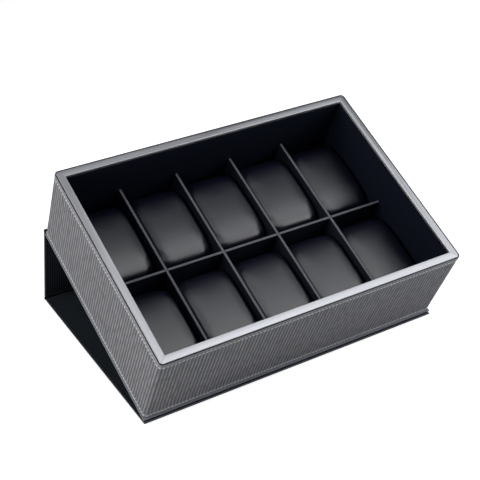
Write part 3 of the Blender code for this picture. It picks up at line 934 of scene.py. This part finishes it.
class BuildCushions(bpy.types.Operator):
    """Fill the ten soft cushions by cloth simulation and press in their closing seams"""

    bl_idname = "watch_box.cushions"
    bl_label = "Cushions"

    def execute(self, context):
        sizes = context.scene.watch_box_sizes
        cushions = [self.start(context, node, sizes.cushion_cell) for node in CUSHIONS]
        self.fill(context, cushions, sizes)
        for node, cushion in zip(CUSHIONS, cushions):
            self.settle(context, node, cushion)
        return {"FINISHED"}

    def start(self, context, node, cell):
        """A slightly smaller copy of the cushion's solid, lying level, with an even mesh."""
        bm = bmesh.new()
        bm.from_mesh(frame["nodes"][node].data)
        bmesh.ops.remove_doubles(bm, verts=bm.verts, dist=SAME)
        bmesh.ops.recalc_face_normals(bm, faces=bm.faces)
        bm.transform(TRAY.inverted())
        low, high = box_in(TRAY, node)
        middle = (low + high) / 2
        middle.z = low.z
        bm.transform(Matrix.Translation(-middle))
        share = CUSHION_START
        bm.transform(Matrix.Diagonal((share, share, share, 1)))
        mesh = bpy.data.meshes.new(node.replace("cushion", "pillow"))
        bm.to_mesh(mesh)
        bm.free()
        cushion = bpy.data.objects.new(mesh.name, mesh)
        context.scene.collection.objects.link(cushion)
        even = cushion.modifiers.new("Even mesh", "REMESH")
        even.mode = "VOXEL"
        even.voxel_size = cell
        bake_modifiers(context, cushion)
        return cushion

    def fill(self, context, cushions, sizes):
        scene = context.scene
        starts = []
        for number, cushion in enumerate(cushions):
            starts.append([vert.co.copy() for vert in cushion.data.vertices])
            cloth = cushion.modifiers.new("Filling", "CLOTH")
            cloth.settings.use_pressure = True
            cloth.settings.uniform_pressure_force = sizes.cushion_pressure * (1 + 0.12 * math.sin(number * 2.4))
            cloth.settings.effector_weights.gravity = 0
            cloth.point_cache.frame_start = 1
            cloth.point_cache.frame_end = sizes.cushion_frames
        for step in range(1, sizes.cushion_frames + 1):
            scene.frame_set(step)
        for cushion, start in zip(cushions, starts):
            bake_modifiers(context, cushion)
            for vert, before in zip(cushion.data.vertices, start):
                move = vert.co - before
                if move.length > CUSHION_SWELL:
                    vert.co = before + move * (CUSHION_SWELL / move.length)
        scene.frame_set(1)

    def settle(self, context, node, cushion):
        """Keeps a cushion in its place, flattens it where it rests, and adds its seam and small creases."""
        low, high = box_in(TRAY, node)
        half = (high - low) / 2
        most = half + CUSHION_PROUD
        smooth = cushion.modifiers.new("Smooth", "SUBSURF")
        smooth.levels = smooth.render_levels = 1
        bake_modifiers(context, cushion)
        bm = bmesh.new()
        bm.from_mesh(cushion.data)
        bm.normal_update()
        seed = Vector((low.x * 90, low.y * 70, 0))
        for _ in range(CUSHION_SMOOTHING):
            bmesh.ops.smooth_vert(
                bm, verts=bm.verts, factor=0.5, use_axis_x=True, use_axis_y=True, use_axis_z=True
            )
        bm.normal_update()
        reach = max(abs(vert.co.x) for vert in bm.verts)
        for vert in bm.verts:
            vert.co.x *= most.x / reach
            edge = min(max((abs(vert.co.x) / half.x - END_FROM) / (1 - END_FROM), 0.0), 1.0)
            vert.co.y *= 1 + END_FULLER[0] * edge * edge
            vert.co.z *= 1 + END_FULLER[1] * edge * edge
            place = vert.co
            crease = noise.noise(Vector((place.x * 60, place.y * 60, place.z * 160)) + seed)
            pucker = math.exp(-(((place.z - CUSHION_SEAM) / 0.004) ** 2))
            push = 0.00003 * crease + 0.00035 * pucker * crease
            push -= CUSHION_SEAM_DEEP * math.exp(-(((place.z - CUSHION_SEAM) / 0.0011) ** 2))
            vert.co = place + vert.normal * push
            vert.co.x = min(max(vert.co.x, -most.x), most.x)
            vert.co.y = min(max(vert.co.y, -most.y), most.y)
            vert.co.z = min(max(vert.co.z, 0.0), high.z - low.z + CUSHION_PROUD.z)
        bmesh.ops.recalc_face_normals(bm, faces=bm.faces)
        middle = Vector(((low.x + high.x) / 2, (low.y + high.y) / 2, low.z))
        bm.transform(TRAY @ Matrix.Translation(middle))
        bm.to_mesh(cushion.data)
        bm.free()
        cushion.data.shade_smooth()
        cushion.data.materials.clear()
        cushion.data.materials.append(finish(context, "cushion"))
        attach(cushion, node)
        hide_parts(node)


def bake_modifiers(context, obj):
    """Replaces an object's mesh with what its modifiers make of it."""
    context.view_layer.update()
    evaluated = obj.evaluated_get(context.evaluated_depsgraph_get())
    shaped = bpy.data.meshes.new_from_object(evaluated)
    old = obj.data
    name = old.name
    obj.modifiers.clear()
    obj.data = shaped
    bpy.data.meshes.remove(old)
    shaped.name = name


class BuildCover(bpy.types.Operator):
    """Make the base, spine and lid: boards in a black woven cover, the spine and lid lined inside"""

    bl_idname = "watch_box.cover"
    bl_label = "Cover"

    def execute(self, context):
        panels = (
            ("base", TRAY, "tray", ["base_board", "base_skin", "base_magnet_1", "base_magnet_2"], False),
            ("spine", SPINE, "spine", ["spine_board", "spine_skin"], True),
            ("lid", LID, "lid", ["lid_board", "lid_skin", "lid_magnet_1", "lid_magnet_2"], True),
        )
        for name, place, body, nodes, lined in panels:
            low, high = box_in(place, f"{name}_board", f"{name}_skin")
            self.panel(context, name, place, body, nodes, low, high)
            if lined:
                self.lining(context, name, place, body)
        return {"FINISHED"}

    def panel(self, context, name, place, body, nodes, low, high):
        """A woven face, carried round the board's edges and closed behind them."""
        sizes = context.scene.watch_box_sizes
        round_by = sizes.panel_round
        half = Vector(((high.x - low.x) / 2, (high.y - low.y) / 2))
        flat = Vector((half.x - round_by, half.y - round_by))
        columns = 2 * round(2 * flat.x / sizes.weave_cell)
        rows = 2 * round(2 * flat.y / sizes.weave_cell)
        bm = bmesh.new()
        relief_layer = bm.verts.layers.float.new("relief")
        wear_and_highlight_layer = bm.verts.layers.float.new("worn")
        # Rims take the edge colour, partly real edge paint and wear, partly painted highlight; fully on the base,
        # less on spine and lid.
        edge_wear_and_highlight = 1.0 if name == "base" else 0.45
        bmesh.ops.create_grid(bm, x_segments=columns, y_segments=rows, size=0.5)
        for vert in bm.verts:
            column, row = round((vert.co.x + 0.5) * columns), round((vert.co.y + 0.5) * rows)
            relief = weave_height(column, row)
            if column in (0, columns) or row in (0, rows):
                relief = 0.3
            # Relief also drives the cover's painted highlight on the tops and painted shade in the lows.
            vert[relief_layer] = relief
            vert[wear_and_highlight_layer] = 0.0
            vert.co = Vector((vert.co.x * 2 * flat.x, vert.co.y * 2 * flat.y, (1 - relief) * sizes.weave_relief))
        thick = high.z - low.z
        open_edges = [edge for edge in bm.edges if edge.is_boundary]
        steps = 4
        rim = []
        for step in range(1, steps + 1):
            turn = math.pi / 2 * step / steps
            rim.append((round_by * (1 - math.sin(turn)), round_by * (1 - math.cos(turn))))
        rim += [(0.0, thick - round_by / 2), (round_by / 5, thick - round_by / 6), (round_by / 2, thick)]
        last = flat.copy()
        for inset, up in rim:
            grown = bmesh.ops.extrude_edge_only(bm, edges=open_edges)["geom"]
            size = Vector((half.x - inset, half.y - inset))
            for vert in grown:
                if isinstance(vert, bmesh.types.BMVert):
                    vert.co.x *= size.x / last.x
                    vert.co.y *= size.y / last.y
                    vert.co.z = up
                    vert[relief_layer] = PLAIN_RELIEF
                    vert[wear_and_highlight_layer] = edge_wear_and_highlight
            last = size
            open_edges = [edge for edge in grown if isinstance(edge, bmesh.types.BMEdge)]
        bmesh.ops.holes_fill(bm, edges=open_edges, sides=0)
        bmesh.ops.recalc_face_normals(bm, faces=bm.faces)
        bm.transform(Matrix.Translation(((low.x + high.x) / 2, (low.y + high.y) / 2, low.z)))
        box_uv(bm)
        put(context, f"{name}_panel", bm, "weave", body, nodes, place, smooth_to=70.0)

    def lining(self, context, name, place, body):
        low, high = box_in(place, f"{name}_lining")
        margin = Vector((LINING_MARGIN, LINING_MARGIN, 0))
        bm = bmesh.new()
        rounded_block(bm, low + margin - Vector((0, 0, 0.0001)), high - margin, LINING_ROUND)
        box_uv(bm)
        put(context, f"{name}_inner", bm, "lining", body, [f"{name}_lining"], place)


def weave_height(column, row):
    """The height, from 0 to 1, of a basket weave's point, counted in half cells."""
    if column % 2 and row % 2:
        return 1.0 if (column // 2 + row // 2) % 2 else 0.88
    return 0.30 if column % 2 or row % 2 else 0.0


class BuildHinges(bpy.types.Operator):
    """Make both leather hinges: a rolled bead on each axis with a flap to the board on either side"""

    bl_idname = "watch_box.hinges"
    bl_label = "Hinges"

    def execute(self, context):
        sizes = context.scene.watch_box_sizes
        base_low, base_high = box_in(TRAY, "base_board", "base_skin")
        axis = TRAY.inverted() @ Vector(JOINTS["spine_hinge"]["pos_m"])
        spine_low, spine_high = box_in(SPINE, "spine_board", "spine_skin")
        lid_low, _ = box_in(LID, "lid_board", "lid_skin")
        side = (base_high.x - base_low.x) / 2
        middle = (base_low.z + base_high.z) / 2
        base_end = (base_high.y - FLAP_UNDER - axis.y, middle - axis.z)
        base_place = TRAY @ Matrix.Translation(axis)
        pieces = (
            ("base_hinge_roll", base_place, "tray", base_end, True, ["base_hinge"]),
            ("spine_hinge_flap", SPINE, "spine", (spine_low.y + FLAP_UNDER, 0.0), False, []),
            ("lid_hinge_roll", SPINE @ Matrix.Translation((0, SPINE_RUN, 0)), "spine",
             (spine_high.y - FLAP_UNDER - SPINE_RUN, 0.0), True, ["lid_hinge"]),
            ("lid_hinge_flap", LID, "lid", (lid_low.y + FLAP_UNDER, 0.0), False, []),
        )
        for name, place, body, end, beaded, nodes in pieces:
            self.leaf(context, name, place, body, end, sizes.bead if beaded else None, nodes, side)
        return {"FINISHED"}

    def leaf(self, context, name, place, body, end, bead, nodes, side):
        """A strip from the axis to a board's edge, with a bead of that radius on the axis if it carries one."""
        bm = bmesh.new()
        relief = bm.verts.layers.float.new("relief")
        bm.verts.layers.float.new("worn")
        if bead is not None:
            bmesh.ops.create_cone(
                bm, cap_ends=True, segments=24, radius1=bead, radius2=bead, depth=2 * side,
                matrix=Matrix.Rotation(math.pi / 2, 4, "Y"),
            )
            ends = [edge for edge in bm.edges if not runs_along(edge, 0)]
            bevel(bm, ends, 0.0003, 2)
        run = math.hypot(*end)
        turn = Matrix.Rotation(math.atan2(end[1], end[0]), 4, "X")
        strip = bmesh.new()
        rounded_block(strip, (-side, 0.0, -FLAP_THICK / 2), (side, run, FLAP_THICK / 2), FLAP_ROUND, 2)
        strip.transform(turn)
        add_shape(bm, strip)
        for vert in bm.verts:
            vert[relief] = PLAIN_RELIEF
        bmesh.ops.recalc_face_normals(bm, faces=bm.faces)
        box_uv(bm)
        put(context, name, bm, "weave", body, nodes, place, smooth_to=40.0)


class FinishBoards(bpy.types.Operator):
    """Give the hidden boards of the tray their card finish"""

    bl_idname = "watch_box.boards"
    bl_label = "Hidden Boards"

    def execute(self, context):
        for name in ("floor_board", *[f"wall_{side}" for side in SIDES]):
            for slot in frame["nodes"][name].material_slots:
                slot.material = finish(context, "board")
        return {"FINISHED"}


class BuildStage(bpy.types.Operator):
    """Set up the white floor, the lights and the camera"""

    bl_idname = "watch_box.stage"
    bl_label = "Stage"

    def execute(self, context):
        scene = context.scene
        studio = scene.watch_box_studio
        bm = bmesh.new()
        bmesh.ops.create_grid(bm, x_segments=8, y_segments=8, size=4.0)
        floor = put(context, "studio_floor", bm, "paper", None, place=Matrix.Translation((0, 0, -0.0002)))
        world = bpy.data.worlds.new("studio_sky")
        world.use_nodes = True
        sky = world.node_tree.nodes["Background"]
        sky.inputs["Color"].default_value = SKY_COLOUR
        sky.inputs["Strength"].default_value = studio.sky
        scene.world = world
        for name, (setting, place, target, size, colour) in LIGHTS.items():
            lamp = bpy.data.lights.new(name, "AREA")
            lamp.shape = "SQUARE"
            lamp.size = size
            lamp.energy = getattr(studio, setting)
            lamp.color = colour
            light = bpy.data.objects.new(name, lamp)
            light.location = place
            light.rotation_euler = (Vector(target) - Vector(place)).to_track_quat("-Z", "Y").to_euler()
            scene.collection.objects.link(light)
        camera = bpy.data.objects.new("camera", bpy.data.cameras.new("camera"))
        camera.data.lens = studio.lens
        camera.data.sensor_width = 36.0
        camera.data.clip_start = 0.01
        camera.location = studio.camera_place
        camera.rotation_euler = studio.camera_turn
        scene.collection.objects.link(camera)
        scene.camera = camera
        scene.view_settings.view_transform = "Standard"
        return {"FINISHED"}


# ---- Add-on -------------------------------------------------------------------------------------------------

OPERATORS = (
    BuildLeatherWrap,
    BuildStitching,
    BuildRim,
    BuildLinings,
    BuildDividers,
    BuildCushions,
    BuildCover,
    BuildHinges,
    FinishBoards,
    BuildStage,
)


class WatchBoxPanel(bpy.types.Panel):
    """Lists the pieces that can be built and the settings behind them"""

    bl_idname = "VIEW3D_PT_watch_box"
    bl_label = "Watch Box"
    bl_space_type = "VIEW_3D"
    bl_region_type = "UI"
    bl_category = "Watch Box"

    def draw(self, context):
        for operator in OPERATORS:
            self.layout.operator(operator.bl_idname)
        for name, settings in SETTINGS.items():
            box = self.layout.box()
            for key in settings.__annotations__:
                box.prop(getattr(context.scene, name), key)


CLASSES = (*SETTINGS.values(), *OPERATORS, WatchBoxPanel)


def register():
    for cls in CLASSES:
        bpy.utils.register_class(cls)
    for name, settings in SETTINGS.items():
        setattr(bpy.types.Scene, name, PointerProperty(type=settings))


def unregister():
    for name in SETTINGS:
        delattr(bpy.types.Scene, name)
    for cls in reversed(CLASSES):
        bpy.utils.unregister_class(cls)


def main():
    register()
    for operator in OPERATORS:
        family, name = operator.bl_idname.split(".")
        getattr(getattr(bpy.ops, family), name)()


if __name__ == "__main__":
    main()
